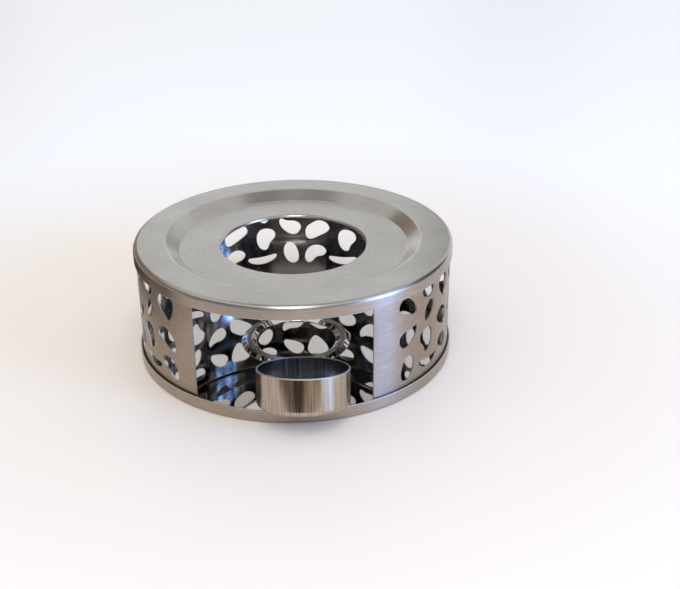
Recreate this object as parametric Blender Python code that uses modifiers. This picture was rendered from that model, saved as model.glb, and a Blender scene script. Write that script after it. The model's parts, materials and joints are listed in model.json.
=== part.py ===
"""Round sheet-steel teapot warmer for one tealight.

A pressed base tray holds a rolled, perforated wall band. A pressed top plate caps the band, and a
loose tealight cup stands tipped in the front window, its bottom across the rim of the tray.
Metres, +Z up. The origin is on the table under the middle of the tray, and the window faces -Y.
"""

import math

import bmesh
import bpy
from mathutils import Matrix, Vector

MM = 0.001

# Top plate, outside sizes
PLATE_DIAMETER = 140.0 * MM
WARMER_HEIGHT = 53.2 * MM
PLATE_SHEET = 0.6 * MM
PLATE_CORNER = 1.8 * MM
SKIRT_HEIGHT = 6.0 * MM
LAND_WIDTH = 14.0 * MM
SLOPE_WIDTH = 6.0 * MM
RECESS_DEPTH = 3.8 * MM
SLOPE_FILLET = 1.6 * MM
HEAT_HOLE_DIAMETER = 63.6 * MM
LIP_ROUND = 1.2 * MM
LIP_DEPTH = 1.4 * MM

# Wall band
WALL_SHEET = 0.6 * MM
SHEET_GAP = 0.3 * MM
WINDOW_WIDTH = 73.0 * MM
PLAIN_END_RIGHT = 11.5 * MM
PLAIN_END_LEFT = 9.6 * MM
TILE_WIDTH = 42.0 * MM

# Base tray
BASE_SHEET = 0.6 * MM
RIM_GAP = 0.5 * MM
RIM_HEIGHT = 5.7 * MM
BASE_BEND = 0.6 * MM
BEAD_WIDTH = 6.6 * MM
BEAD_HEIGHT = 2.2 * MM
BEAD_FLANK = 1.6 * MM
BEAD_BEND = 0.3 * MM
SEAT_CLEARANCE = 1.2 * MM

# Tealight cup
CUP_DIAMETER = 38.5 * MM
CUP_HEIGHT = 15.6 * MM
CUP_SHEET = 0.4 * MM
CUP_CORNER = 2.2 * MM
CUP_FOOT_WIDTH = 3.0 * MM
CUP_FOOT_STEP = 0.8 * MM
CUP_TILT = math.radians(16.0)
CUP_TURN = math.radians(2.5)
CUP_OFFSET = 5.3 * MM

# Facets: sides of each turned piece, and segments of each fillet
PLATE_SIDES = 60
WALL_SIDES = 50
CUP_SIDES = 40
FILLET_SEGMENTS = 2
PEBBLE_POINTS = 16

# Sizes that follow from the ones above
plate_radius = PLATE_DIAMETER / 2
recess_level = WARMER_HEIGHT - RECESS_DEPTH
skirt_bottom = WARMER_HEIGHT - SKIRT_HEIGHT
wall_radius = plate_radius - PLATE_SHEET - SHEET_GAP
wall_bottom = BASE_SHEET + SHEET_GAP
wall_top = WARMER_HEIGHT - PLATE_CORNER
rim_inside = wall_radius + RIM_GAP
base_radius = rim_inside + BASE_SHEET
cup_radius = CUP_DIAMETER / 2
cup_flat_radius = cup_radius - CUP_CORNER
window_half_angle = math.asin(WINDOW_WIDTH / 2 / wall_radius)

# One tile of the pebble pattern, in shares of the tile's own width. Each pebble gives where its
# middle lies from the tile's lower left corner (across, up), its length and width, its turn in
# degrees, how much its left and its right side taper towards its end, how far its middle bows
# sideways, how blunt its ends are, how deep one flank is dented (plus is left, minus is right) and
# where, from -1 at its start to 1 at its end. The ratio is the drawn tile's height over its width:
# the tiles are then stretched to fill the band, from end to end and in height.
PATTERN_RATIO = 1.198
DENT_REACH = 0.6
PEBBLES = [
    (0.160, 0.973, 0.282, 0.160, -40, 0.15, 0.55, 0.0, 0.1, 0.0, 0.0),
    (0.172, 0.660, 0.280, 0.170, 42, 0.70, 0.05, 0.0, 0.1, 0.020, 0.45),
    (0.154, 0.303, 0.276, 0.172, 75, 0.0, 0.0, -0.007, 0.1, 0.0, 0.0),
    (0.480, 1.050, 0.214, 0.157, -12, 0.05, 0.05, 0.0, 0.1, 0.0, 0.0),
    (0.505, 0.815, 0.229, 0.160, -112, 0.40, 0.0, 0.0, 0.1, 0.0, 0.0),
    (0.467, 0.500, 0.278, 0.216, -86, 0.15, 0.45, 0.0, 0.15, -0.026, 0.35),
    (0.512, 0.247, 0.356, 0.094, -5, 0.0, 0.0, -0.040, 0.35, 0.0, 0.0),
    (0.855, 0.958, 0.276, 0.240, -80, 0.45, 0.50, 0.0, 0.1, 0.0, 0.0),
    (0.839, 0.605, 0.314, 0.200, -33, 0.0, 0.12, 0.034, 0.15, 0.012, 0.0),
    (0.866, 0.292, 0.290, 0.178, -38, 0.05, 0.15, 0.034, 0.15, -0.024, 0.1),
]


def clear_scene():
    for old in list(bpy.data.objects):
        bpy.data.objects.remove(old, do_unlink=True)


def new_collection(name):
    collection = bpy.data.collections.new(name)
    bpy.context.scene.collection.children.link(collection)
    return collection


def steel(name, color, roughness):
    material = bpy.data.materials.new(name)
    material.use_nodes = True
    shader = material.node_tree.nodes["Principled BSDF"]
    shader.inputs["Base Color"].default_value = (*color, 1.0)
    shader.inputs["Metallic"].default_value = 1.0
    shader.inputs["Roughness"].default_value = roughness
    material.diffuse_color = (*color, 1.0)
    return material


def rounded_line(corners):
    """Points of a profile through (radius, height, fillet) corners, each fillet drawn as an arc."""
    points = []
    for index, (radius, height, fillet) in enumerate(corners):
        corner = Vector((radius, height))
        if fillet == 0:
            points.append(corner)
            continue
        towards_last = (Vector(corners[index - 1][:2]) - corner).normalized()
        towards_next = (Vector(corners[index + 1][:2]) - corner).normalized()
        half = towards_last.angle(towards_next) / 2
        centre = corner + (towards_last + towards_next).normalized() * fillet / math.sin(half)
        first_arm = corner + towards_last * fillet / math.tan(half) - centre
        last_arm = corner + towards_next * fillet / math.tan(half) - centre
        sweep = first_arm.angle_signed(last_arm)
        for step in range(FILLET_SEGMENTS + 1):
            turn = Matrix.Rotation(-sweep * step / FILLET_SEGMENTS, 2)
            points.append(centre + turn @ first_arm)
    return points


def freeze(part):
    """Turn the modifiers' result into the part's own mesh, smooth but for its folded edges."""
    depsgraph = bpy.context.evaluated_depsgraph_get()
    mesh = bpy.data.meshes.new_from_object(part.evaluated_get(depsgraph))
    part.modifiers.clear()
    part.data = mesh
    mesh.shade_smooth()
    mesh.set_sharp_from_angle(angle=math.radians(40))


def turned_sheet(name, corners, sheet, sides, material, collection, sweep=2 * math.pi):
    """Revolve the outer side of a sheet about Z and thicken it inwards."""
    points = rounded_line(corners)
    mesh = bpy.data.meshes.new(name)
    vertices = [(point.x, 0, point.y) for point in points]
    edges = [(index, index + 1) for index in range(len(points) - 1)]
    mesh.from_pydata(vertices, edges, [])
    mesh.materials.append(material)
    part = bpy.data.objects.new(name, mesh)
    collection.objects.link(part)
    screw = part.modifiers.new("Turn", "SCREW")
    screw.axis = "Z"
    screw.angle = sweep
    screw.steps = sides
    screw.render_steps = sides
    screw.use_merge_vertices = True
    screw.merge_threshold = 0.00001
    solidify = part.modifiers.new("Sheet", "SOLIDIFY")
    solidify.thickness = sheet
    solidify.offset = -1
    solidify.use_even_offset = True
    return part


def build_top_plate(material, collection):
    """Skirt, flat outer land, slope down to the pot's recess, and the hole with its rolled lip."""
    hole = HEAT_HOLE_DIAMETER / 2
    land_edge = plate_radius - LAND_WIDTH
    corners = [
        (hole, recess_level - LIP_DEPTH, 0),
        (hole, recess_level, LIP_ROUND),
        (land_edge - SLOPE_WIDTH, recess_level, SLOPE_FILLET),
        (land_edge, WARMER_HEIGHT, SLOPE_FILLET),
        (plate_radius, WARMER_HEIGHT, PLATE_CORNER),
        (plate_radius, skirt_bottom, 0),
    ]
    plate = turned_sheet("top_plate", corners, PLATE_SHEET, PLATE_SIDES, material, collection)
    freeze(plate)
    return plate


def build_base_tray(material, collection):
    """Upright rim, flat floor and the raised bead that keeps the tealight in the middle."""
    flank_angle = math.atan2(BEAD_HEIGHT, BEAD_FLANK)
    sheet_shift = BASE_SHEET * math.tan(flank_angle / 2)
    bead_inside = cup_flat_radius + SEAT_CLEARANCE + sheet_shift
    bead_outside = cup_flat_radius + SEAT_CLEARANCE + BEAD_WIDTH - sheet_shift
    corners = [
        (base_radius, RIM_HEIGHT, 0),
        (base_radius, 0, BASE_BEND + BASE_SHEET),
        (bead_outside, 0, BEAD_BEND + BASE_SHEET),
        (bead_outside - BEAD_FLANK, BEAD_HEIGHT, BEAD_BEND),
        (bead_inside + BEAD_FLANK, BEAD_HEIGHT, BEAD_BEND),
        (bead_inside, 0, BEAD_BEND + BASE_SHEET),
        (0, 0, 0),
    ]
    tray = turned_sheet("base_tray", corners, BASE_SHEET, PLATE_SIDES, material, collection)
    freeze(tray)
    return tray


def pebble_outline(length, width, turn, left_taper, right_taper, bow, blunt, dent, dent_at):
    """An egg with unlike sides, bowed like a bean, dented on one flank and then turned."""
    points = []
    for step in range(PEBBLE_POINTS):
        angle = 2 * math.pi * step / PEBBLE_POINTS
        along = math.cos(angle)
        across = math.copysign(abs(math.sin(angle)) ** (1 - blunt), math.sin(angle))
        taper = left_taper if across > 0 else right_taper
        side = width / 2 * across * (1 - taper * along) + bow * (0.5 - along * along)
        if across * dent > 0:
            side -= dent * max(0, 1 - ((along - dent_at) / DENT_REACH) ** 2) ** 2
        points.append(Matrix.Rotation(math.radians(turn), 2) @ Vector((along * length / 2, side)))
    return points


def pebble_cutter(outline, reach):
    """A flat outline with thickness, as a closed mesh."""
    curve = bpy.data.curves.new("pebble", "CURVE")
    curve.dimensions = "2D"
    curve.fill_mode = "BOTH"
    curve.extrude = reach
    spline = curve.splines.new("POLY")
    spline.points.add(len(outline) - 1)
    for point, place in zip(spline.points, outline):
        point.co = (place.x, place.y, 0, 1)
    spline.use_cyclic_u = True
    guide = bpy.data.objects.new("pebble_guide", curve)
    bpy.context.scene.collection.objects.link(guide)
    depsgraph = bpy.context.evaluated_depsgraph_get()
    mesh = bpy.data.meshes.new_from_object(guide.evaluated_get(depsgraph))
    bpy.data.objects.remove(guide)
    return mesh


def facing(angle, radius, height):
    """A frame on the wall at an angle from -Y: X along the wall, Y up, Z straight out."""
    out = Vector((math.sin(angle), -math.cos(angle), 0))
    along = Vector((math.cos(angle), math.sin(angle), 0))
    place = out * radius + Vector((0, 0, height))
    frame = Matrix((along, Vector((0, 0, 1)), out)).transposed().to_4x4()
    return Matrix.Translation(place) @ frame


def build_pebble_cutters(collection):
    """Every pebble of the pattern as one cutter mesh, in whole tiles between the plain ends."""
    band_height = wall_top - wall_bottom
    start = window_half_angle + PLAIN_END_RIGHT / wall_radius
    end = 2 * math.pi - window_half_angle - PLAIN_END_LEFT / wall_radius
    tiles = round((end - start) * wall_radius / TILE_WIDTH)
    tile_angle = (end - start) / tiles
    wide = tile_angle * wall_radius
    tall = band_height / PATTERN_RATIO
    gathered = bmesh.new()
    for across, up, *shape in PEBBLES:
        mesh = pebble_cutter(pebble_outline(*shape), WALL_SHEET * 3)
        mesh.transform(Matrix.Diagonal((wide, tall, 1, 1)))
        for tile in range(tiles):
            angle = start + tile_angle * (tile + across)
            copy = mesh.copy()
            copy.transform(facing(angle, wall_radius, wall_bottom + up * tall))
            gathered.from_mesh(copy)
            bpy.data.meshes.remove(copy)
        bpy.data.meshes.remove(mesh)
    bmesh.ops.remove_doubles(gathered, verts=gathered.verts, dist=0.00001)
    mesh = bpy.data.meshes.new("pebble_cutters")
    gathered.to_mesh(mesh)
    gathered.free()
    cutters = bpy.data.objects.new("pebble_cutters", mesh)
    collection.objects.link(cutters)
    cutters.hide_render = True
    cutters.display_type = "WIRE"
    return cutters


def build_wall_band(material, collection, cutters):
    """An open band rolled from one strip: its two ends are the sides of the window."""
    corners = [(wall_radius, wall_top, 0), (wall_radius, wall_bottom, 0)]
    sweep = 2 * math.pi - 2 * window_half_angle
    band = turned_sheet("wall_band", corners, WALL_SHEET, WALL_SIDES, material, collection, sweep)
    band.rotation_euler.z = window_half_angle - math.pi / 2
    cut = band.modifiers.new("Pebbles", "BOOLEAN")
    cut.operation = "DIFFERENCE"
    cut.solver = "EXACT"
    cut.object = cutters
    bpy.context.view_layer.update()
    freeze(band)
    return band


def rim_clearance(cup_place):
    """The least gap between the tray's rim and the flat bottom of a cup tipped towards +Y."""
    axis = Vector((0, math.sin(CUP_TILT), math.cos(CUP_TILT)))
    least = math.inf
    for step in range(-60, 61):
        angle = math.radians(step * 0.5)
        for radius in (rim_inside, base_radius):
            edge = Vector((math.sin(angle) * radius, -math.cos(angle) * radius, RIM_HEIGHT))
            arm = edge - cup_place
            depth = -arm.dot(axis)
            if (arm + axis * depth).length < cup_flat_radius:
                least = min(least, depth)
    return least


def cup_position():
    """Middle of the cup's bottom: its back edge just off the floor, its bottom just off the rim."""
    rise = cup_flat_radius * math.sin(CUP_TILT) + CUP_CORNER * (1 - math.cos(CUP_TILT))
    height = BASE_SHEET + SHEET_GAP + rise
    inner = -(rim_inside - cup_radius)
    outer = -(base_radius + cup_radius)
    for _ in range(40):
        middle = (inner + outer) / 2
        if rim_clearance(Vector((CUP_OFFSET, middle, height))) > SHEET_GAP:
            inner, outer = middle, outer
        else:
            inner, outer = inner, middle
    return Matrix.Rotation(CUP_TURN, 3, "Z") @ Vector((CUP_OFFSET, (inner + outer) / 2, height))


def build_tealight_cup(material, collection):
    """A thin drawn cup whose middle is pressed up inside a narrow foot ring."""
    foot_inside = cup_flat_radius - CUP_FOOT_WIDTH
    corners = [
        (cup_radius, CUP_HEIGHT, 0),
        (cup_radius, 0, CUP_CORNER),
        (foot_inside, 0, 0),
        (foot_inside - CUP_FOOT_STEP, CUP_FOOT_STEP, 0),
        (0, CUP_FOOT_STEP, 0),
    ]
    cup = turned_sheet("tealight_cup", corners, CUP_SHEET, CUP_SIDES, material, collection)
    freeze(cup)
    cup.location = cup_position()
    cup.rotation_euler = (-CUP_TILT, 0, CUP_TURN)
    return cup


clear_scene()
warmer = new_collection("teapot_warmer")
tools = new_collection("cutters")
satin = steel("satin_steel", (0.60, 0.57, 0.54), 0.34)
tray_satin = steel("tray_steel", (0.56, 0.52, 0.49), 0.30)
band_satin = steel("band_steel", (0.54, 0.48, 0.43), 0.36)
polished = steel("polished_steel", (0.66, 0.62, 0.59), 0.12)
build_base_tray(tray_satin, warmer)
build_wall_band(band_satin, warmer, build_pebble_cutters(tools))
build_top_plate(satin, warmer)
build_tealight_cup(polished, warmer)
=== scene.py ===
# %% [markdown]
# # A steel teapot warmer
#
# The warmer is a low drum of thin stainless steel. A pressed plate carries the pot, a band pierced
# with pebble shapes lets the heat and the light out, and a tray with a raised ring holds the tealight.
# The steel is satin on the outside and bright inside, so much of what one sees through the window
# is a reflection. The solids of the working model come first: they fix every size.

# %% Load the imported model
import json
import math

import bmesh
import bpy
import numpy as np
from mathutils import Matrix, Vector


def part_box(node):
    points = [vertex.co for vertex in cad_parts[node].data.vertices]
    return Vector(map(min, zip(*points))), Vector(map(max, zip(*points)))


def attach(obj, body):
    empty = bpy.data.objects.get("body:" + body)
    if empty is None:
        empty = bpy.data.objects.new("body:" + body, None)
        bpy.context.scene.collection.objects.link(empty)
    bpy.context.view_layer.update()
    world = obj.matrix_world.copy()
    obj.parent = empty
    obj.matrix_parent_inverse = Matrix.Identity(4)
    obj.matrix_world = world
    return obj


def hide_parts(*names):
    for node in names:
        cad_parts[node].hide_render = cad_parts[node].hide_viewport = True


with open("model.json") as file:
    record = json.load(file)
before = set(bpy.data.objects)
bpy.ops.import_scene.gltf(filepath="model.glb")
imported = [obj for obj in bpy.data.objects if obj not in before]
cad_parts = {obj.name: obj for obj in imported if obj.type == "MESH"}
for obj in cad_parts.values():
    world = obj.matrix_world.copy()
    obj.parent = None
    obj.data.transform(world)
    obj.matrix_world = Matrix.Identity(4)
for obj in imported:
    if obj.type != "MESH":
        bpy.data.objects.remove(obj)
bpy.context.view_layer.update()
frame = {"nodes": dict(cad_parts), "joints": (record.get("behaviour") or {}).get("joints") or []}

print("nodes:", sorted(frame["nodes"]))

# %% [markdown]
# ## Sizes
#
# What the model already knows is read from it, so that both stay the same size. The rest are real
# sizes of the pressings in millimetres, turned to metres by one factor.

# %% Read the sizes that the pieces share
MM = 0.001

plate_low, plate_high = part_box("top_plate")
band_low, band_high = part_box("wall_band")
tray_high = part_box("base_tray")[1]

plate_radius = plate_high.x
plate_top = plate_high.z
skirt_bottom = plate_low.z
band_radius = band_high.y
tray_radius = tray_high.x
rim_top = tray_high.z

PLATE_SHEET = 0.6 * MM
BAND_SHEET = 0.6 * MM
TRAY_SHEET = 0.6 * MM
CUP_SHEET = 0.4 * MM
WINDOW_WIDTH = 73.0 * MM

window_half_angle = math.asin(WINDOW_WIDTH / 2 / band_radius)
print("plate", round(plate_radius * 2000, 1), "mm across, top at", round(plate_top * 1000, 1), "mm")

# %% [markdown]
# ## Nodes with one small function
#
# Materials and geometry trees are both made of nodes. One function adds a node, sets its options and
# its constant inputs and joins its incoming links, so that each later line reads like a sentence.

# %% Helpers for nodes and colours
def add(tree, kind, values=None, links=None, **settings):
    """A node with its settings, its constant inputs and its incoming links."""
    node = tree.nodes.new(kind)
    for name, value in settings.items():
        setattr(node, name, value)
    for socket, value in (values or {}).items():
        node.inputs[socket].default_value = value
    for socket, source in (links or {}).items():
        tree.links.new(source, node.inputs[socket])
    return node


def linear(code):
    """An sRGB hex colour as linear red, green, blue and alpha."""
    channels = [int(code[start:start + 2], 16) / 255 for start in (0, 2, 4)]
    return (*[c / 12.92 if c <= 0.04045 else ((c + 0.055) / 1.055) ** 2.4 for c in channels], 1.0)


print("mid grey in linear light:", round(linear("808080")[0], 3))

# %% [markdown]
# ## Stainless steel in four finishes
#
# All the sheet is stainless steel, a slightly warm grey metal. What changes is how its surface was
# worked: satin, bright, drawn or sheared. The warmer, darker tones of the skirt, the corner, the band,
# the tray and the outside of the cup are a painted reflection of warm surroundings, and the darker
# insides of the band and the cup are painted shade. A satin finish is thousands of fine scratches that
# run round the axis: they stretch each highlight across themselves, which is anisotropy, and they
# break its edge into a faint grain. The scratches are drawn as noise that is long round the axis and
# fine across it. Taking the direction from the axis as a unit vector, and not as an angle, leaves no
# seam.

# %% Fine lines that run round the axis
def round_the_axis(tree, turns, across):
    """Noise that is long round Z and fine across: turns sets how long, across lines per metre."""
    place = add(tree, "ShaderNodeTexCoord")
    flat = add(tree, "ShaderNodeVectorMath", {1: (1, 1, 0)}, {0: place.outputs["Object"]},
               operation="MULTIPLY")
    radius = add(tree, "ShaderNodeVectorMath", links={0: flat.outputs[0]}, operation="LENGTH")
    direction = add(tree, "ShaderNodeVectorMath", links={0: flat.outputs[0]},
                    operation="NORMALIZE")
    split = add(tree, "ShaderNodeSeparateXYZ", links={0: place.outputs["Object"]})
    reach = add(tree, "ShaderNodeMath", links={0: radius.outputs["Value"], 1: split.outputs["Z"]},
                operation="ADD")
    fine = add(tree, "ShaderNodeMath", {1: across}, {0: reach.outputs[0]}, operation="MULTIPLY")
    slow = add(tree, "ShaderNodeVectorMath", {3: turns}, {0: direction.outputs[0]},
               operation="SCALE")
    lift = add(tree, "ShaderNodeCombineXYZ", links={2: fine.outputs[0]})
    where = add(tree, "ShaderNodeVectorMath", links={0: slow.outputs[0], 1: lift.outputs[0]},
                operation="ADD")
    return add(tree, "ShaderNodeTexNoise", {"Scale": 1.0, "Detail": 2.0, "Roughness": 0.6},
               {"Vector": where.outputs[0]})


def steel(name, color, **values):
    """A metal with constant values on its own sockets. Returns the material, its tree and shader."""
    material = bpy.data.materials.new(name)
    material.use_nodes = True
    shader = material.node_tree.nodes["Principled BSDF"]
    shader.inputs["Base Color"].default_value = linear(color)
    shader.inputs["Metallic"].default_value = 1.0
    for socket, value in values.items():
        shader.inputs[socket.replace("_", " ")].default_value = value
    material.diffuse_color = linear(color)
    return material, material.node_tree, shader


print("noise and metal helpers ready")

# %% [markdown]
# ### Satin steel, brushed round the axis
#
# This is the outside of the plate, the band and the tray. The real lines are about 0.1 mm apart, too
# fine to show, so they are drawn 0.55 mm apart and some 6 mm long. The lines vary the tone and the
# height. Only a slow noise varies the roughness, because lines as fine as a pixel leave blotches.
# The top of the plate is the palest and finest. Its bent corner is duller, and the skirt, the band and
# the tray are coarser. Their warmer, darker tone, and the corner's, is a painted reflection of warm
# surroundings. The top of the bead looks rubbed, with softer lines.

# %% Satin steel
LINES_PER_METRE = 1 / (0.55 * MM)
LINE_TURNS = 11.0
PATCHES_PER_METRE = 38.0
LINE_SHARE = 0.45
ROUGH_DRIFT = 0.02


def satin_steel(name, color, dark, rough, stretch, line_height):
    """Satin sheet: a tone from dark to color, rough, stretched highlights and fine lines."""
    material, tree, shader = steel(name, color, Anisotropic=stretch, Anisotropic_Rotation=0.25)
    lines = round_the_axis(tree, LINE_TURNS, LINES_PER_METRE)
    place = add(tree, "ShaderNodeTexCoord")
    patches = add(tree, "ShaderNodeTexNoise", {"Scale": PATCHES_PER_METRE, "Detail": 3.0},
                  {"Vector": place.outputs["Object"]})
    blend = add(tree, "ShaderNodeMath", {1: LINE_SHARE}, {0: lines.outputs["Fac"]},
                operation="MULTIPLY")
    both = add(tree, "ShaderNodeMath", {1: 1 - LINE_SHARE},
               {0: patches.outputs["Fac"], 2: blend.outputs[0]}, operation="MULTIPLY_ADD")
    tone = add(tree, "ShaderNodeValToRGB", links={0: both.outputs[0]})
    tone.color_ramp.elements[0].position = 0.32
    tone.color_ramp.elements[0].color = linear(dark)
    tone.color_ramp.elements[1].position = 0.68
    tone.color_ramp.elements[1].color = linear(color)
    tree.links.new(tone.outputs["Color"], shader.inputs["Base Color"])
    dull = add(tree, "ShaderNodeMapRange",
               {"From Min": 0.3, "From Max": 0.7,
                "To Min": rough - ROUGH_DRIFT, "To Max": rough + ROUGH_DRIFT},
               {"Value": patches.outputs["Fac"]})
    tree.links.new(dull.outputs["Result"], shader.inputs["Roughness"])
    bump = add(tree, "ShaderNodeBump", {"Strength": 0.35, "Distance": line_height},
               {"Height": lines.outputs["Fac"]})
    tree.links.new(bump.outputs["Normal"], shader.inputs["Normal"])
    round_z = add(tree, "ShaderNodeTangent", direction_type="RADIAL", axis="Z")
    tree.links.new(round_z.outputs["Tangent"], shader.inputs["Tangent"])
    return material


plate_satin = satin_steel("satin_plate_steel", "D1CFCC", "BCBAB7", 0.25, 0.60, 0.0005 * MM)
# The warmer, darker tones of the skirt, band, tray and corner satins are a painted reflection of warm
# surroundings.
skirt_satin_painted_reflection = satin_steel("satin_skirt_steel_painted_reflection", "C2B6AB", "A2968B", 0.32, 0.88, 0.004 * MM)
band_satin_painted_reflection = satin_steel("satin_band_steel_painted_reflection", "BDAE9E", "9D8E7F", 0.34, 0.88, 0.004 * MM)
tray_satin_painted_reflection = satin_steel("satin_tray_steel_painted_reflection", "BDAFA0", "A6998A", 0.30, 0.80, 0.004 * MM)
corner_satin_painted_reflection = satin_steel("satin_corner_steel_painted_reflection", "C8C3BE", "BEB9B4", 0.30, 0.50, 0.002 * MM)
rubbed_satin = satin_steel("rubbed_bead_steel", "A6A4A2", "9C9A98", 0.34, 0.50, 0.002 * MM)
satins = (plate_satin, skirt_satin_painted_reflection, band_satin_painted_reflection, tray_satin_painted_reflection, corner_satin_painted_reflection, rubbed_satin)
print("satin finishes:", [material.name for material in satins])

# %% [markdown]
# ### Polished steel
#
# The inside of every sheet is left as bright as the rolling mill made it. Thin sheet is never quite
# flat, so a slow, low wave bends the mirror image a little, and a fine haze of wiping marks keeps it
# from looking like glass. The plate and the tray mirror sharply. The inside of the band is hazier, so
# the pebbles of the opposite wall show in it only softly, and its darker grey is painted shade of the
# closed drum.

# %% Polished steel
WAVE_LENGTH = 16.0 * MM
WAVE_HEIGHT = 0.002 * MM
WIPES_PER_METRE = 95.0
HAZE_SPREAD = 2.2


def polished_steel(name, color, rough):
    """Bright sheet: a mirror with a slow wave and a thin haze."""
    material, tree, shader = steel(name, color)
    place = add(tree, "ShaderNodeTexCoord")
    wave = add(tree, "ShaderNodeTexNoise", {"Scale": 1 / WAVE_LENGTH, "Detail": 1.0},
               {"Vector": place.outputs["Object"]})
    bump = add(tree, "ShaderNodeBump", {"Strength": 1.0, "Distance": WAVE_HEIGHT},
               {"Height": wave.outputs["Fac"]})
    tree.links.new(bump.outputs["Normal"], shader.inputs["Normal"])
    haze = add(tree, "ShaderNodeTexNoise",
               {"Scale": WIPES_PER_METRE, "Detail": 4.0, "Roughness": 0.65},
               {"Vector": place.outputs["Object"]})
    dull = add(tree, "ShaderNodeMapRange",
               {"From Min": 0.35, "From Max": 0.75, "To Min": rough, "To Max": rough * HAZE_SPREAD},
               {"Value": haze.outputs["Fac"]})
    tree.links.new(dull.outputs["Result"], shader.inputs["Roughness"])
    return material


mirror_inside = polished_steel("polished_steel", "D2CFCC", 0.015)
# The band's inside is painted a darker grey than the other mirrors: painted shade.
band_inside_painted_shade = polished_steel("bright_rolled_steel_painted_shade", "A4A3A2", 0.075)
print("mirror finishes:", mirror_inside.name, band_inside_painted_shade.name)

# %% [markdown]
# ### Cut edges
#
# Where the press sheared the sheet, a thin pale line with a coarse grain is left. It outlines each
# pebble, both sides of the window and the rims of the turned pieces.

# %% Cut edges
GRAIN_SIZE = 0.5 * MM
GRAIN_HEIGHT = 0.03 * MM


def cut_edge_steel():
    """Sheared edge of the sheet."""
    material, tree, shader = steel("sheared_edge_steel", "DAD7D3", Roughness=0.55)
    place = add(tree, "ShaderNodeTexCoord")
    grain = add(tree, "ShaderNodeTexNoise", {"Scale": 1 / GRAIN_SIZE, "Detail": 2.0},
                {"Vector": place.outputs["Object"]})
    bump = add(tree, "ShaderNodeBump", {"Strength": 0.4, "Distance": GRAIN_HEIGHT},
               {"Height": grain.outputs["Fac"]})
    tree.links.new(bump.outputs["Normal"], shader.inputs["Normal"])
    return material


cut_edge = cut_edge_steel()
print("edge finish:", cut_edge.name)

# %% [markdown]
# ## Turned pieces
#
# The plate, the tray and the cup were pressed or drawn from round blanks, so each is one outline
# turned about an axis. The outline is a list of corners with a fillet radius each, and a function
# draws the fillets as arcs. A Screw modifier turns the line, Solidify gives it the thickness of the
# sheet, with the second material on the inner side, a Bevel takes the sharpness off the rims, and
# Weighted Normal keeps the flats truly flat in the reflections, next to their tight bends. Where a
# part of a piece has another finish than the rest, its faces are picked by place and direction.

# %% Outline with round corners
FILLET_STEPS = 8


def rounded_line(corners):
    """Points through (radius, height, fillet) corners, with each fillet drawn as an arc."""
    points = []
    for index, (radius, height, fillet) in enumerate(corners):
        corner = Vector((radius, height))
        if fillet == 0:
            points.append(corner)
            continue
        towards_last = (Vector(corners[index - 1][:2]) - corner).normalized()
        towards_next = (Vector(corners[index + 1][:2]) - corner).normalized()
        half = towards_last.angle(towards_next) / 2
        centre = corner + (towards_last + towards_next).normalized() * fillet / math.sin(half)
        first_arm = corner + towards_last * fillet / math.tan(half) - centre
        last_arm = corner + towards_next * fillet / math.tan(half) - centre
        sweep = first_arm.angle_signed(last_arm)
        for step in range(FILLET_STEPS + 1):
            turn = Matrix.Rotation(-sweep * step / FILLET_STEPS, 2)
            points.append(centre + turn @ first_arm)
    return points


fillet_test = rounded_line([(0, 0, 0), (1, 0, 0.5), (1, 1, 0)])
print("one fillet makes", len(fillet_test), "points of a three-point line")

# %% Turn, thicken and smooth
SHARP_ANGLE = math.radians(38)
EDGE_SHARE = 0.42
EDGE_ANGLE = math.radians(70)
MERGE_WITHIN = 0.01 * MM
MIRROR_SLOT = 1
EDGE_SLOT = 2


def evaluated(piece):
    """The piece's mesh with its modifiers applied."""
    depsgraph = bpy.context.evaluated_depsgraph_get()
    return bpy.data.meshes.new_from_object(piece.evaluated_get(depsgraph))


def smooth_steel(piece):
    """Smooth shading that keeps the folded edges sharp and the flats flat."""
    piece.data.shade_smooth()
    piece.data.set_sharp_from_angle(angle=SHARP_ANGLE)
    weigh = piece.modifiers.new("Flats", "WEIGHTED_NORMAL")
    weigh.keep_sharp = True
    mesh = evaluated(piece)
    piece.modifiers.clear()
    piece.data = mesh


def closed_volume(piece):
    """The volume inside a closed mesh in cubic centimetres. It is negative if it is inside out."""
    shape = bmesh.new()
    shape.from_mesh(piece.data)
    volume = shape.calc_volume(signed=True)
    shape.free()
    return volume * 1e6


def turned_sheet(name, corners, sheet, sides, outside, inside, edge):
    """An outline turned about Z and thickened inwards, satin outside and polished inside."""
    points = rounded_line(corners)
    line = bpy.data.meshes.new(name)
    line.from_pydata([(point.x, 0, point.y) for point in points],
                     [(index, index + 1) for index in range(len(points) - 1)], [])
    for material in (outside, inside, edge):
        line.materials.append(material)
    piece = bpy.data.objects.new(name, line)
    bpy.context.scene.collection.objects.link(piece)
    turn = piece.modifiers.new("Turn", "SCREW")
    turn.steps = turn.render_steps = sides
    turn.use_merge_vertices = True
    turn.merge_threshold = MERGE_WITHIN
    thick = piece.modifiers.new("Sheet", "SOLIDIFY")
    thick.thickness = sheet
    thick.offset = -1
    thick.use_even_offset = True
    thick.material_offset = MIRROR_SLOT
    thick.material_offset_rim = EDGE_SLOT
    soften = piece.modifiers.new("Edges", "BEVEL")
    soften.width = sheet * EDGE_SHARE
    soften.segments = 3
    soften.limit_method = "ANGLE"
    soften.angle_limit = EDGE_ANGLE
    soften.material = EDGE_SLOT
    mesh = evaluated(piece)
    piece.modifiers.clear()
    piece.data = mesh
    smooth_steel(piece)
    print(name, "has", len(piece.data.polygons), "faces and",
          round(closed_volume(piece), 2), "cubic cm of steel")
    return piece


def repaint(piece, index, chosen):
    """Gives the chosen faces another of the piece's materials."""
    faces = [face for face in piece.data.polygons if chosen(face)]
    for face in faces:
        face.material_index = index
    print(len(faces), "faces of", piece.name, "are now", piece.data.materials[index].name)


print("folds are sharp above", round(math.degrees(SHARP_ANGLE)), "degrees")
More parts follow.
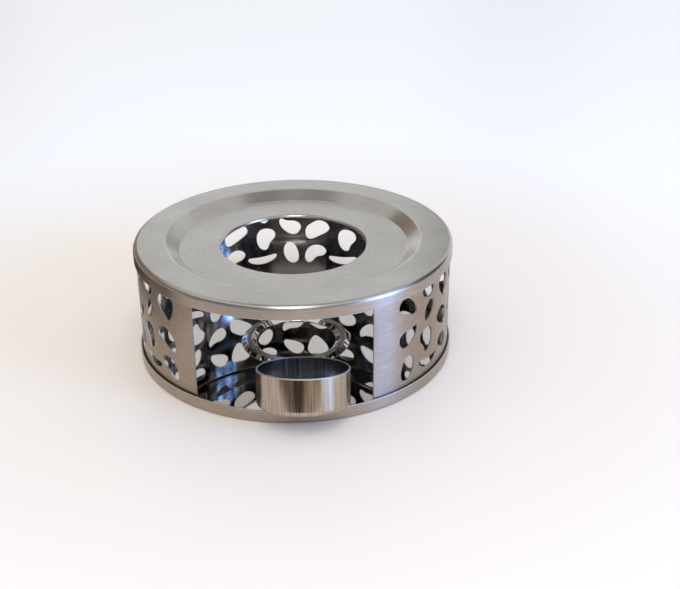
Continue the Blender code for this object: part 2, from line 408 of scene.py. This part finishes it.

# %% [markdown]
# ### The top plate
#
# From the hole outwards: a turned-down lip, the flat recess that the pot stands in, a slope, the flat
# outer land, and the rounded corner into the skirt. The press leaves the upper bend of the slope
# softer than the lower one. The skirt and the corner get their own satin, and their warmer, darker
# tone is a painted reflection of warm surroundings.

# %% Press the top plate
SIDES = 288
LAND_WIDTH = 14.0 * MM
SLOPE_WIDTH = 6.0 * MM
RECESS_DEPTH = 3.8 * MM
PLATE_CORNER = 2.1 * MM
UPPER_BEND = 2.6 * MM
LOWER_BEND = 1.4 * MM
HEAT_HOLE_RADIUS = 31.8 * MM
LIP_ROUND = 1.2 * MM
LIP_DEPTH = 1.4 * MM
EXTRA_SLOT = 3

# How far a face's normal points up: below the first it is upright, above the second level
UPRIGHT = 0.1
LEVEL = 0.96

recess = plate_top - RECESS_DEPTH
land_edge = plate_radius - LAND_WIDTH
top_plate = turned_sheet("top_plate_steel", [
    (HEAT_HOLE_RADIUS, recess - LIP_DEPTH, 0),
    (HEAT_HOLE_RADIUS, recess, LIP_ROUND),
    (land_edge - SLOPE_WIDTH, recess, LOWER_BEND),
    (land_edge, plate_top, UPPER_BEND),
    (plate_radius, plate_top, PLATE_CORNER),
    (plate_radius, skirt_bottom, 0),
], PLATE_SHEET, SIDES, plate_satin, mirror_inside, cut_edge)


def outer_face(face):
    """Whether a face is on the satin side and outside the flat of the land."""
    return face.material_index == 0 and face.center.xy.length > plate_radius - PLATE_CORNER


# The skirt and the corner are the same sheet as the land; their warmer, darker tone is painted
# reflection.
top_plate.data.materials.append(skirt_satin_painted_reflection)
repaint(top_plate, EXTRA_SLOT, lambda face: outer_face(face) and abs(face.normal.z) < UPRIGHT)
top_plate.data.materials.append(corner_satin_painted_reflection)
repaint(top_plate, EXTRA_SLOT + 1,
        lambda face: outer_face(face) and UPRIGHT <= face.normal.z < LEVEL)
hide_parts("top_plate")
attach(top_plate, "warmer")

# %% [markdown]
# ### The base tray
#
# The rim stands outside the band. The bead is pressed up from below and keeps the tealight in the
# middle: its inner foot is a little wider than the flat of the cup. Its top is one wide bend, so that
# it looks like a tube, grey on top with mirroring flanks.

# %% Press the base tray
TRAY_BEND = 0.6 * MM
BEAD_INNER_FOOT = 18.55 * MM
BEAD_OUTER_FOOT = 24.55 * MM
BEAD_FLANK = 2.3 * MM
BEAD_HEIGHT = 2.2 * MM
BEAD_BEND = 1.6 * MM
BEAD_FOOT_BEND = 0.4 * MM
RUBBED_FROM = 0.88

base_tray = turned_sheet("base_tray_steel", [
    (tray_radius, rim_top, 0),
    (tray_radius, 0, TRAY_BEND + TRAY_SHEET),
    (BEAD_OUTER_FOOT, 0, TRAY_SHEET + BEAD_FOOT_BEND),
    (BEAD_OUTER_FOOT - BEAD_FLANK, BEAD_HEIGHT, BEAD_BEND),
    (BEAD_INNER_FOOT + BEAD_FLANK, BEAD_HEIGHT, BEAD_BEND),
    (BEAD_INNER_FOOT, 0, TRAY_SHEET + BEAD_FOOT_BEND),
    (0, 0, 0),
], TRAY_SHEET, SIDES, tray_satin_painted_reflection, mirror_inside, cut_edge)
base_tray.data.materials.append(rubbed_satin)
repaint(base_tray, EXTRA_SLOT,
        lambda face: face.normal.z > RUBBED_FROM and face.center.z > BEAD_HEIGHT)
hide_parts("base_tray")
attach(base_tray, "warmer")

# %% [markdown]
# ## The pierced band
#
# The band starts as a flat strip. Ten pebbles make one tile of the pattern, and the punch repeats the
# tile eight times before the strip is rolled up. The geometry tree does the same in that order: it
# fills the drawn outlines, copies them along the strip, cuts them out of a flat bar of many narrow
# columns, and bends every point round the axis. Bending last keeps the edges of the holes square to
# the sheet and the curve of the wall exact.

# %% Draw one tile of pebbles
PLAIN_END_RIGHT = 11.5 * MM
PLAIN_END_LEFT = 9.6 * MM
TILES = 8
PEBBLE_POINTS = 56
DENT_REACH = 0.6

# The height of the band in tile widths
PATTERN_RATIO = 1.198

# Across, up, length and width in tile widths, turn in degrees, taper of the left and the right
# side, bow, blunt ends, dent of one flank (plus is left) and where it lies along the pebble
PEBBLES = [
    (0.160, 0.973, 0.282, 0.160, -40, 0.15, 0.55, 0.0, 0.1, 0.0, 0.0),
    (0.172, 0.660, 0.280, 0.170, 42, 0.70, 0.05, 0.0, 0.1, 0.020, 0.45),
    (0.154, 0.303, 0.276, 0.172, 75, 0.0, 0.0, -0.007, 0.1, 0.0, 0.0),
    (0.480, 1.050, 0.214, 0.157, -12, 0.05, 0.05, 0.0, 0.1, 0.0, 0.0),
    (0.505, 0.815, 0.229, 0.160, -112, 0.40, 0.0, 0.0, 0.1, 0.0, 0.0),
    (0.467, 0.500, 0.278, 0.216, -86, 0.15, 0.45, 0.0, 0.15, -0.026, 0.35),
    (0.512, 0.247, 0.356, 0.094, -5, 0.0, 0.0, -0.040, 0.35, 0.0, 0.0),
    (0.855, 0.958, 0.276, 0.240, -80, 0.45, 0.50, 0.0, 0.1, 0.0, 0.0),
    (0.839, 0.605, 0.314, 0.200, -33, 0.0, 0.12, 0.034, 0.15, 0.012, 0.0),
    (0.866, 0.292, 0.290, 0.178, -38, 0.05, 0.15, 0.034, 0.15, -0.024, 0.1),
]


def pebble_outline(length, width, turn, left_taper, right_taper, bow, blunt, dent, dent_at):
    """An egg with unlike sides, bowed like a bean, dented on one flank and then turned."""
    points = []
    for step in range(PEBBLE_POINTS):
        angle = 2 * math.pi * step / PEBBLE_POINTS
        along = math.cos(angle)
        across = math.copysign(abs(math.sin(angle)) ** (1 - blunt), math.sin(angle))
        taper = left_taper if across > 0 else right_taper
        side = width / 2 * across * (1 - taper * along) + bow * (0.5 - along * along)
        if across * dent > 0:
            side -= dent * max(0, 1 - ((along - dent_at) / DENT_REACH) ** 2) ** 2
        points.append(Matrix.Rotation(math.radians(turn), 2) @ Vector((along * length / 2, side)))
    return points


def draw_tile(wide, tall):
    """The pebbles of one tile as closed outlines, wide and tall being the size of one share."""
    curve = bpy.data.curves.new("pebble_tile", "CURVE")
    for across, up, *shape in PEBBLES:
        outline = pebble_outline(*shape)
        spline = curve.splines.new("POLY")
        spline.points.add(len(outline) - 1)
        for point, place in zip(spline.points, outline):
            point.co = ((across + place.x) * wide, (up + place.y) * tall, 0, 1)
        spline.use_cyclic_u = True
    tile = bpy.data.objects.new("pebble_tile", curve)
    bpy.context.scene.collection.objects.link(tile)
    return tile


strip_length = (2 * math.pi - 2 * window_half_angle) * band_radius
tile_width = (strip_length - PLAIN_END_RIGHT - PLAIN_END_LEFT) / TILES
band_height = band_high.z - band_low.z
tile = draw_tile(tile_width, band_height / PATTERN_RATIO)
print("strip", round(strip_length * 1000, 1), "mm long, tile", round(tile_width * 1000, 1), "mm")

# %% Punch and roll the strip
COLUMN_WIDTH = 0.6 * MM
PUNCH_MERGE = 0.001 * MM

# The punch's length in sheets, and the share of it that starts below the strip's outer face
PUNCH_SHEETS = 4.0
SHARE_BELOW = 0.6

# A face of the flat strip that looks up or down by more than this is on a large side
FACING = 0.5


def band_tree():
    """Geometry nodes that pierce a flat strip and roll it round Z."""
    tree = bpy.data.node_groups.new("pierced_band", "GeometryNodeTree")
    tree.is_modifier = True
    sockets = tree.interface
    sockets.new_socket("Geometry", in_out="INPUT", socket_type="NodeSocketGeometry")
    for name in ("Radius", "Sheet", "Bottom", "Height", "Length", "First angle", "First tile",
                 "Tile width"):
        sockets.new_socket(name, in_out="INPUT", socket_type="NodeSocketFloat")
    for name in ("Tiles", "Columns"):
        sockets.new_socket(name, in_out="INPUT", socket_type="NodeSocketInt")
    sockets.new_socket("Tile", in_out="INPUT", socket_type="NodeSocketObject")
    for name in ("Outside", "Inside", "Edge"):
        sockets.new_socket(name, in_out="INPUT", socket_type="NodeSocketMaterial")
    sockets.new_socket("Geometry", in_out="OUTPUT", socket_type="NodeSocketGeometry")
    given = tree.nodes.new("NodeGroupInput").outputs

    size = add(tree, "ShaderNodeCombineXYZ", links={0: given["Length"], 1: given["Height"],
                                                    2: given["Sheet"]})
    bar = add(tree, "GeometryNodeMeshCube", {"Vertices Y": 2, "Vertices Z": 2},
              {"Size": size.outputs[0], "Vertices X": given["Columns"]})
    lift = add(tree, "ShaderNodeVectorMath", {1: (0.5, 0.5, -0.5)}, {0: size.outputs[0]},
               operation="MULTIPLY")
    strip = add(tree, "GeometryNodeTransform", links={"Geometry": bar.outputs["Mesh"],
                                                      "Translation": lift.outputs[0]})

    drawn = add(tree, "GeometryNodeObjectInfo", links={"Object": given["Tile"]})
    start = add(tree, "ShaderNodeCombineXYZ", links={0: given["First tile"]})
    pitch = add(tree, "ShaderNodeCombineXYZ", links={0: given["Tile width"]})
    row = add(tree, "GeometryNodeMeshLine", links={"Count": given["Tiles"],
                                                   "Start Location": start.outputs[0],
                                                   "Offset": pitch.outputs[0]})
    tiles = add(tree, "GeometryNodeInstanceOnPoints",
                links={"Points": row.outputs["Mesh"], "Instance": drawn.outputs["Geometry"]})
    outlines = add(tree, "GeometryNodeRealizeInstances", links={0: tiles.outputs["Instances"]})
    flat = add(tree, "GeometryNodeFillCurve", links={"Curve": outlines.outputs[0]}, mode="NGONS")
    depth = add(tree, "ShaderNodeMath", {1: PUNCH_SHEETS}, {0: given["Sheet"]},
                operation="MULTIPLY")
    punch_way = add(tree, "ShaderNodeCombineXYZ", links={2: depth.outputs[0]})
    below = add(tree, "ShaderNodeVectorMath", {1: (0, 0, -SHARE_BELOW)},
                {0: punch_way.outputs[0]}, operation="MULTIPLY")
    lowered = add(tree, "GeometryNodeTransform", links={"Geometry": flat.outputs["Mesh"],
                                                        "Translation": below.outputs[0]})
    raised = add(tree, "GeometryNodeExtrudeMesh", {"Individual": False},
                 {"Mesh": lowered.outputs[0], "Offset": punch_way.outputs[0]})
    floor_of_punch = add(tree, "GeometryNodeFlipFaces", links={"Mesh": lowered.outputs[0]})
    halves = add(tree, "GeometryNodeJoinGeometry", links={0: raised.outputs["Mesh"]})
    tree.links.new(floor_of_punch.outputs[0], halves.inputs[0])
    punches = add(tree, "GeometryNodeMergeByDistance", {"Distance": PUNCH_MERGE},
                  {"Geometry": halves.outputs[0]})

    pierced = add(tree, "GeometryNodeMeshBoolean", links={"Mesh 1": strip.outputs[0],
                                                          "Mesh 2": punches.outputs[0]},
                  operation="DIFFERENCE", solver="EXACT")
    normal = add(tree, "GeometryNodeInputNormal")
    normal_parts = add(tree, "ShaderNodeSeparateXYZ", links={0: normal.outputs[0]})
    marked = add(tree, "GeometryNodeStoreNamedAttribute", {"Name": "facing"},
                 {"Geometry": pierced.outputs["Mesh"], "Value": normal_parts.outputs["Z"]},
                 data_type="FLOAT", domain="FACE")

    place = add(tree, "GeometryNodeInputPosition")
    parts = add(tree, "ShaderNodeSeparateXYZ", links={0: place.outputs[0]})
    turned = add(tree, "ShaderNodeMath", links={0: parts.outputs["X"], 1: given["Radius"]},
                 operation="DIVIDE")
    angle = add(tree, "ShaderNodeMath", links={0: turned.outputs[0], 1: given["First angle"]},
                operation="ADD")
    reach = add(tree, "ShaderNodeMath", links={0: parts.outputs["Z"], 1: given["Radius"]},
                operation="ADD")
    sine = add(tree, "ShaderNodeMath", links={0: angle.outputs[0]}, operation="SINE")
    cosine = add(tree, "ShaderNodeMath", links={0: angle.outputs[0]}, operation="COSINE")
    right = add(tree, "ShaderNodeMath", links={0: reach.outputs[0], 1: sine.outputs[0]},
                operation="MULTIPLY")
    back = add(tree, "ShaderNodeMath", links={0: reach.outputs[0], 1: cosine.outputs[0]},
               operation="MULTIPLY")
    front = add(tree, "ShaderNodeMath", {1: -1.0}, {0: back.outputs[0]}, operation="MULTIPLY")
    level = add(tree, "ShaderNodeMath", links={0: parts.outputs["Y"], 1: given["Bottom"]},
                operation="ADD")
    rolled_place = add(tree, "ShaderNodeCombineXYZ", links={0: right.outputs[0],
                                                            1: front.outputs[0],
                                                            2: level.outputs[0]})
    rolled = add(tree, "GeometryNodeSetPosition", links={"Geometry": marked.outputs[0],
                                                         "Position": rolled_place.outputs[0]})

    result = add(tree, "GeometryNodeRealizeInstances", links={0: rolled.outputs[0]})
    facing = add(tree, "GeometryNodeInputNamedAttribute", {"Name": "facing"}, data_type="FLOAT")
    result = add(tree, "GeometryNodeSetMaterial", links={"Geometry": result.outputs[0],
                                                         "Material": given["Edge"]})
    for side, operation, limit in (("Outside", "GREATER_THAN", FACING),
                                   ("Inside", "LESS_THAN", -FACING)):
        picked = add(tree, "FunctionNodeCompare", {1: limit}, {0: facing.outputs["Attribute"]},
                     data_type="FLOAT", operation=operation)
        result = add(tree, "GeometryNodeSetMaterial", links={"Geometry": result.outputs[0],
                                                             "Selection": picked.outputs[0],
                                                             "Material": given[side]})
    add(tree, "NodeGroupOutput", links={0: result.outputs[0]})
    return tree


def set_inputs(modifier, values):
    """Fills a geometry modifier's inputs, found by name and set by their socket's identifier."""
    for item in modifier.node_group.interface.items_tree:
        if item.in_out == "INPUT" and item.name in values:
            modifier[item.identifier] = values[item.name]


def roll_band():
    """The pierced band as a plain mesh."""
    seed = bpy.data.objects.new("wall_band_steel", bpy.data.meshes.new("wall_band_steel"))
    bpy.context.scene.collection.objects.link(seed)
    roll = seed.modifiers.new("Pierce and roll", "NODES")
    roll.node_group = band_tree()
    set_inputs(roll, {
        "Radius": band_radius,
        "Sheet": BAND_SHEET,
        "Bottom": band_low.z,
        "Height": band_height,
        "Length": strip_length,
        "First angle": window_half_angle,
        "First tile": PLAIN_END_RIGHT,
        "Tile width": tile_width,
        "Tiles": TILES,
        "Columns": round(strip_length / COLUMN_WIDTH),
        "Tile": tile,
        "Outside": band_satin_painted_reflection,
        "Inside": band_inside_painted_shade,
        "Edge": cut_edge,
    })
    mesh = evaluated(seed)
    mesh.materials.pop(index=0)  # the seed's own empty slot
    seed.modifiers.clear()
    seed.data = mesh
    return seed


wall_band = roll_band()
bpy.data.objects.remove(tile)
print("band has", len(wall_band.data.polygons), "faces and",
      round(closed_volume(wall_band), 2), "cubic cm of steel, materials",
      [material.name for material in wall_band.data.materials])

# %% [markdown]
# The columns are flat between their edges. To mirror like a true cylinder, every corner of the two
# large sides gets the exact direction away from the axis as its normal, and the cut edges keep theirs.

# %% Give the band true round normals
BAND_SHARP_ANGLE = math.radians(30)


def round_normals(piece):
    """Exact outward or inward normals on the satin and polished sides of the band."""
    mesh = piece.data
    mesh.shade_smooth()
    mesh.set_sharp_from_angle(angle=BAND_SHARP_ANGLE)
    sides = {band_satin_painted_reflection.name: 1, band_inside_painted_shade.name: -1}
    normals = [corner.vector.copy() for corner in mesh.corner_normals]
    for polygon in mesh.polygons:
        way = sides.get(mesh.materials[polygon.material_index].name)
        if way is None:
            continue
        for loop in polygon.loop_indices:
            place = mesh.vertices[mesh.loops[loop].vertex_index].co
            normals[loop] = Vector((place.x, place.y, 0)).normalized() * way
    mesh.normals_split_custom_set(normals)


round_normals(wall_band)
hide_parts("wall_band")
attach(wall_band, "warmer")
print("round normals set on", len(wall_band.data.loops), "corners")

# %% [markdown]
# ## The tealight cup
#
# The cup is drawn from thinner sheet, and its wall keeps upright lines from the die, which spread
# each mirrored bar sideways into streaks. They are drawn about 0.6 mm wide, coarser than real ones.
# Inside they are deeper. The warm tone outside is a painted reflection of warm surroundings, and the
# dark bluish end of the tone inside is painted shade. The rim turns in a little and shows the dull
# cut.
# The cup stands tipped, with its bottom across the rim of the tray. Its lean is read from the joint
# that it slides along, and its place from the solid.

# %% Polished cup steel with upright lines
cup_way = Vector(frame["joints"][0]["axis"]).normalized()
cup_tilt = math.asin(cup_way.z)
cup_turn = math.atan2(cup_way.x, -cup_way.y)
cup_turning = Matrix.Rotation(cup_turn, 3, "Z") @ Matrix.Rotation(-cup_tilt, 3, "X")
cup_low, cup_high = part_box("tealight_cup")
cup_middle = (cup_low + cup_high) / 2
CUP_LINES = 30.0
CUP_LINE_STRETCH = 40.0
CUP_ROUGH_DRIFT = 0.06


def cup_steel(name, color, dark, rough, line_height):
    """Drawn steel: lines along the cup's own axis, found by turning the pattern with the cup."""
    material, tree, shader = steel(name, color)
    place = add(tree, "ShaderNodeTexCoord")
    upright = add(tree, "ShaderNodeMapping", vector_type="TEXTURE")
    upright.inputs["Location"].default_value = cup_middle
    upright.inputs["Rotation"].default_value = cup_turning.to_euler()
    tree.links.new(place.outputs["Object"], upright.inputs["Vector"])
    flat = add(tree, "ShaderNodeVectorMath", {1: (1, 1, 0)}, {0: upright.outputs[0]},
               operation="MULTIPLY")
    direction = add(tree, "ShaderNodeVectorMath", links={0: flat.outputs[0]},
                    operation="NORMALIZE")
    spread = add(tree, "ShaderNodeVectorMath", {3: CUP_LINES}, {0: direction.outputs[0]},
                 operation="SCALE")
    along = add(tree, "ShaderNodeVectorMath", {1: (0, 0, CUP_LINE_STRETCH)},
                {0: upright.outputs[0]}, operation="MULTIPLY")
    where = add(tree, "ShaderNodeVectorMath", links={0: spread.outputs[0], 1: along.outputs[0]},
                operation="ADD")
    lines = add(tree, "ShaderNodeTexNoise", {"Scale": 1.0, "Detail": 3.0, "Roughness": 0.7},
                {"Vector": where.outputs[0]})
    bump = add(tree, "ShaderNodeBump", {"Strength": 0.5, "Distance": line_height},
               {"Height": lines.outputs["Fac"]})
    tree.links.new(bump.outputs["Normal"], shader.inputs["Normal"])
    tone = add(tree, "ShaderNodeValToRGB", links={0: lines.outputs["Fac"]})
    tone.color_ramp.elements[0].position = 0.36
    tone.color_ramp.elements[0].color = linear(dark)
    tone.color_ramp.elements[1].position = 0.62
    tone.color_ramp.elements[1].color = linear(color)
    tree.links.new(tone.outputs["Color"], shader.inputs["Base Color"])
    dull = add(tree, "ShaderNodeMapRange",
               {"From Min": 0.3, "From Max": 0.7,
                "To Min": rough, "To Max": rough + CUP_ROUGH_DRIFT},
               {"Value": lines.outputs["Fac"]})
    tree.links.new(dull.outputs["Result"], shader.inputs["Roughness"])
    return material


# Outside, the warm tone is a painted reflection; inside, the dark bluish end of the tone is painted
# shade.
cup_outside_painted_reflection = cup_steel("drawn_cup_steel_painted_reflection", "C6B6A5", "9B8D7F", 0.11, 0.07 * MM)
cup_inside_painted_shade = cup_steel("drawn_inside_of_cup_painted_shade", "D8D9DC", "5E6268", 0.17, 0.20 * MM)
print("cup leans", round(math.degrees(cup_tilt), 1), "degrees")

# %% Draw the cup and tip it
CUP_SIDES = 192
CUP_RADIUS = 19.2 * MM
CUP_HEIGHT = 15.6 * MM
CUP_CORNER = 2.2 * MM
CUP_FOOT_INSIDE = 14.05 * MM
CUP_FOOT_STEP = 0.8 * MM
CUP_FOOT_BEND = 0.3 * MM
CUP_RIM_ROUND = 0.45 * MM
CUP_RIM_TURN = 0.6 * MM

tealight_cup = turned_sheet("tealight_cup_steel", [
    (CUP_RADIUS - CUP_RIM_TURN, CUP_HEIGHT, 0),
    (CUP_RADIUS, CUP_HEIGHT, CUP_RIM_ROUND),
    (CUP_RADIUS, 0, CUP_CORNER),
    (CUP_FOOT_INSIDE, 0, CUP_FOOT_BEND),
    (CUP_FOOT_INSIDE - CUP_FOOT_STEP, CUP_FOOT_STEP, CUP_FOOT_BEND),
    (0, CUP_FOOT_STEP, 0),
], CUP_SHEET, CUP_SIDES, cup_outside_painted_reflection, cup_inside_painted_shade, cut_edge)
repaint(tealight_cup, EDGE_SLOT, lambda face: face.center.z > CUP_HEIGHT - CUP_RIM_ROUND)


def place_in_box(piece, turning, middle):
    """Turns the mesh itself and centres its box where the solid's is. Returns the move made."""
    piece.data.transform(turning.to_4x4())
    corners = np.array([vertex.co for vertex in piece.data.vertices])
    now = Vector((corners.min(0) + corners.max(0)) / 2)
    piece.data.transform(Matrix.Translation(middle - now))
    return middle - now


cup_shift = place_in_box(tealight_cup, cup_turning, cup_middle)
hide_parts("tealight_cup")
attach(tealight_cup, "cup")
print("cup moved by", [round(value * 1000, 2) for value in cup_shift], "mm")

# %% [markdown]
# ## The studio
#
# The floor is pale and plain: a little warm round the warmer, where the steel mirrors it, and white
# farther out. Steel has hardly a colour of its own, so what stands round it matters as much as its
# finish. A white sky lights everything evenly. A tall cool lamp stands to the right, a soft lamp
# hangs above the front, and large cards give the steel something dark and something warm to mirror.
# The cards show only in reflections: they neither light nor shade the floor.

# %% Floor and sky
FLOOR_SIZE = 24.0
FLOOR_DROP = 0.1 * MM
WARM_REACH = 0.12
WHITE_REACH = 0.32
SKY_STRENGTH = 0.88


def floor_material():
    """Pale floor, warm near the middle and white farther out."""
    material = bpy.data.materials.new("pale_floor")
    material.use_nodes = True
    tree = material.node_tree
    shader = tree.nodes["Principled BSDF"]
    shader.inputs["Roughness"].default_value = 0.45
    place = add(tree, "ShaderNodeTexCoord")
    away = add(tree, "ShaderNodeVectorMath", links={0: place.outputs["Object"]},
               operation="LENGTH")
    share = add(tree, "ShaderNodeMapRange", {"From Min": WARM_REACH, "From Max": WHITE_REACH},
                {"Value": away.outputs["Value"]}, interpolation_type="SMOOTHSTEP")
    tone = add(tree, "ShaderNodeValToRGB", links={0: share.outputs["Result"]})
    tone.color_ramp.elements[0].color = linear("F0E7DE")
    tone.color_ramp.elements[1].color = linear("F8F8F8")
    tree.links.new(tone.outputs["Color"], shader.inputs["Base Color"])
    return material


bpy.ops.mesh.primitive_plane_add(size=FLOOR_SIZE, location=(0, 0, -FLOOR_DROP))
floor = bpy.context.active_object
floor.name = "floor"
floor.data.materials.append(floor_material())

world = bpy.data.worlds.new("white_sky")
world.use_nodes = True
bpy.context.scene.world = world
sky = world.node_tree.nodes["Background"]
sky.inputs["Color"].default_value = (1.0, 1.0, 1.0, 1.0)
sky.inputs["Strength"].default_value = SKY_STRENGTH
print("floor", FLOOR_SIZE, "m wide under a white sky")

# %% [markdown]
# The camera stands in front of the window and a little to its right, at the height that shows both
# the top and the window. Its lens and place were found by fitting the warmer's circles to the
# photograph.

# %% Camera
CAMERA_PLACE = Vector((40.5, -452.2, 249.1)) * MM
CAMERA_TURN = math.radians(2.55)
CAMERA_DROP = math.radians(26.44)
CAMERA_ROLL = math.radians(0.344)
CAMERA_LENS = 59.3

camera = bpy.data.objects.new("camera", bpy.data.cameras.new("camera"))
bpy.context.scene.collection.objects.link(camera)
camera.data.lens = CAMERA_LENS
camera.data.sensor_width = 36.0
aim = Matrix.Rotation(CAMERA_TURN, 3, "Z") @ Matrix.Rotation(math.pi / 2 - CAMERA_DROP, 3, "X")
camera.location = CAMERA_PLACE
camera.rotation_euler = (aim @ Matrix.Rotation(-CAMERA_ROLL, 3, "Z")).to_euler()
bpy.context.scene.camera = camera
print("camera", round(CAMERA_PLACE.length, 2), "m from the middle of the tray")

# %% [markdown]
# ### Lamps and cards
#
# All the lamps and cards are placed by their direction as seen from the warmer, because a mirror
# shows directions. The flats of the plate show what stands behind, the far side of its slope shows
# what hangs above, and the rounded corner at the front shows what stands in front.

# %% Directions and lamps
def direction(azimuth, elevation):
    """The way out from the warmer, with azimuth 0 at the front, growing to the right."""
    turn, rise = math.radians(azimuth), math.radians(elevation)
    return Vector((math.sin(turn) * math.cos(rise), -math.cos(turn) * math.cos(rise),
                   math.sin(rise)))


def soft_lamp(name, azimuth, elevation, distance, width, height, color, radiance):
    """A rectangular lamp that faces the warmer. Radiance 1 is as bright as a sky of strength 1."""
    lamp = bpy.data.lights.new(name, "AREA")
    lamp.shape = "RECTANGLE"
    lamp.size = width
    lamp.size_y = height
    lamp.color = linear(color)[:3]
    lamp.energy = radiance * math.pi * width * height
    piece = bpy.data.objects.new(name, lamp)
    bpy.context.scene.collection.objects.link(piece)
    away = direction(azimuth, elevation)
    piece.location = away * distance
    piece.rotation_euler = away.to_track_quat("Z", "Y").to_euler()
    piece.visible_camera = False
    print(name, "gives", round(lamp.energy, 1), "W")


soft_lamp("tall_lamp_right", 67.5, 18, 2.4, 0.68, 1.44, "74A8FF", 10.4)
soft_lamp("lamp_above_front", 2, 55, 1.1, 0.30, 0.68, "FFFFFF", 4.7)

# %% Cards that only reflections show
CARD_COLUMNS = 24
CARD_ROWS = 8
CARD_MERGE = 0.1 * MM
MAT_COLUMNS = 32


def fresh_material(name):
    """A material with an empty tree. Returns both."""
    material = bpy.data.materials.new(name)
    material.use_nodes = True
    material.node_tree.nodes.clear()
    return material, material.node_tree


def show_in_reflections(name, mesh, material):
    """Adds a mesh that neither the camera nor diffuse light sees and that casts no shadow."""
    mesh.materials.append(material)
    piece = bpy.data.objects.new(name, mesh)
    bpy.context.scene.collection.objects.link(piece)
    piece.visible_camera = False
    piece.visible_diffuse = False
    piece.visible_shadow = False


def card(name, azimuths, elevations, distance, low_color, high_color):
    """A curved card round the warmer, its tone graded from bottom to top."""
    shape = bmesh.new()
    grid = []
    for elevation in np.linspace(*elevations, CARD_ROWS + 1):
        grid.append([shape.verts.new(direction(azimuth, elevation) * distance)
                     for azimuth in np.linspace(*azimuths, CARD_COLUMNS + 1)])
    for row in range(CARD_ROWS):
        for column in range(CARD_COLUMNS):
            shape.faces.new((grid[row][column], grid[row + 1][column],
                             grid[row + 1][column + 1], grid[row][column + 1]))
    bmesh.ops.remove_doubles(shape, verts=shape.verts, dist=CARD_MERGE)
    mesh = bpy.data.meshes.new(name)
    shape.to_mesh(mesh)
    shape.free()
    material, tree = fresh_material(name)
    place = add(tree, "ShaderNodeTexCoord")
    split = add(tree, "ShaderNodeSeparateXYZ", links={0: place.outputs["Object"]})
    low, high = [math.sin(math.radians(angle)) * distance for angle in elevations]
    rise = add(tree, "ShaderNodeMapRange", {"From Min": low, "From Max": high},
               {"Value": split.outputs["Z"]})
    tone = add(tree, "ShaderNodeValToRGB", links={0: rise.outputs["Result"]})
    tone.color_ramp.elements[0].color = linear(low_color)
    tone.color_ramp.elements[1].color = linear(high_color)
    glow = add(tree, "ShaderNodeEmission", links={"Color": tone.outputs["Color"]})
    add(tree, "ShaderNodeOutputMaterial", links={"Surface": glow.outputs[0]})
    show_in_reflections(name, mesh, material)


def lying_card(name, azimuths, radii, fade, color):
    """A flat card just over the floor, clear from below and fading in along Y."""
    arc = [direction(azimuth, 0) for azimuth in np.linspace(*azimuths, MAT_COLUMNS + 1)]
    corners = [way * radius + Vector((0, 0, FLOOR_DROP)) for radius in radii for way in arc]
    outer = len(arc)
    mesh = bpy.data.meshes.new(name)
    mesh.from_pydata(corners, [], [(column, outer + column, outer + column + 1, column + 1)
                                   for column in range(MAT_COLUMNS)])
    material, tree = fresh_material(name)
    place = add(tree, "ShaderNodeTexCoord")
    split = add(tree, "ShaderNodeSeparateXYZ", links={0: place.outputs["Object"]})
    fade_in = add(tree, "ShaderNodeMapRange", {"From Min": fade[0], "From Max": fade[1]},
                  {"Value": split.outputs["Y"]})
    side = add(tree, "ShaderNodeNewGeometry")
    above = add(tree, "ShaderNodeMath", {0: 1.0}, {1: side.outputs["Backfacing"]},
                operation="SUBTRACT")
    share = add(tree, "ShaderNodeMath", links={0: fade_in.outputs["Result"], 1: above.outputs[0]},
                operation="MULTIPLY")
    glow = add(tree, "ShaderNodeEmission", {"Color": linear(color)})
    clear = add(tree, "ShaderNodeBsdfTransparent")
    mix = add(tree, "ShaderNodeMixShader", links={0: share.outputs[0], 1: clear.outputs[0],
                                                  2: glow.outputs[0]})
    add(tree, "ShaderNodeOutputMaterial", links={"Surface": mix.outputs[0]})
    show_in_reflections(name, mesh, material)


lying_card("brown_mat", (-190, -55), (0.122, 0.45), (-0.105, -0.045), "4A3C32")
print("the lying card has", len(bpy.data.meshes["brown_mat"].polygons), "faces")

# %% [markdown]
# The lying card is in place: the skirt and the top of the band mirror it at the left, and the floor
# does not, because it is clear from below. Of the standing cards, four low ones are close in front,
# where the upright wall of the cup mirrors them as bars. The others stand farther off, in front, at
# both sides, behind and above. Where two of them overlap, the nearer one shows: the narrow one behind
# tones down the right of the plate's land.

# %% Stand the cards up
FAR = 1.3
CLOSE = 0.27

# The elevations between which a card stands, in degrees
MIDDLE = (13, 44)
LOW = (0, 14)
ASIDE = (-1, 40)
BEHIND = (4, 34)

card("navy_left", (-62, -14), MIDDLE, FAR, "3C424E", "3C424E")
card("grey_front", (-14, 22), MIDDLE, FAR, "7A736C", "6A6560")
card("navy_right", (22, 52), MIDDLE, FAR, "484F5C", "484F5C")
card("brown_left", (-157, -60), ASIDE, 1.28, "AC9884", "7A6A5C")
card("low_left", (-64, -30), LOW, CLOSE, "6A5E54", "6A5E54")
card("low_grey", (-30, -12), LOW, CLOSE, "766C63", "766C63")
card("low_dark", (-12, 6), LOW, CLOSE, "4C3A31", "4C3A31")
card("low_right", (6, 36), LOW, CLOSE, "B4A99F", "B4A99F")
card("dark_right", (86, 132), ASIDE, FAR, "3A3C42", "3A3C42")
card("grey_back", (132, 210), BEHIND, 1.35, "F2F2F2", "DBDBDB")
card("shade_back", (165, 174), BEHIND, 1.33, "A0A0A0", "A0A0A0")
card("grey_high", (95, 265), (36, 67), 1.36, "DFDEDC", "CFCDCA")
card("grey_above", (0, 360), (68, 90), 1.35, "98938B", "908B83")

# %% [markdown]
# ## Finish
#
# The colours are meant as they are written, so the view transform stays plain.

# %% Finish
bpy.context.scene.view_settings.view_transform = "Standard"
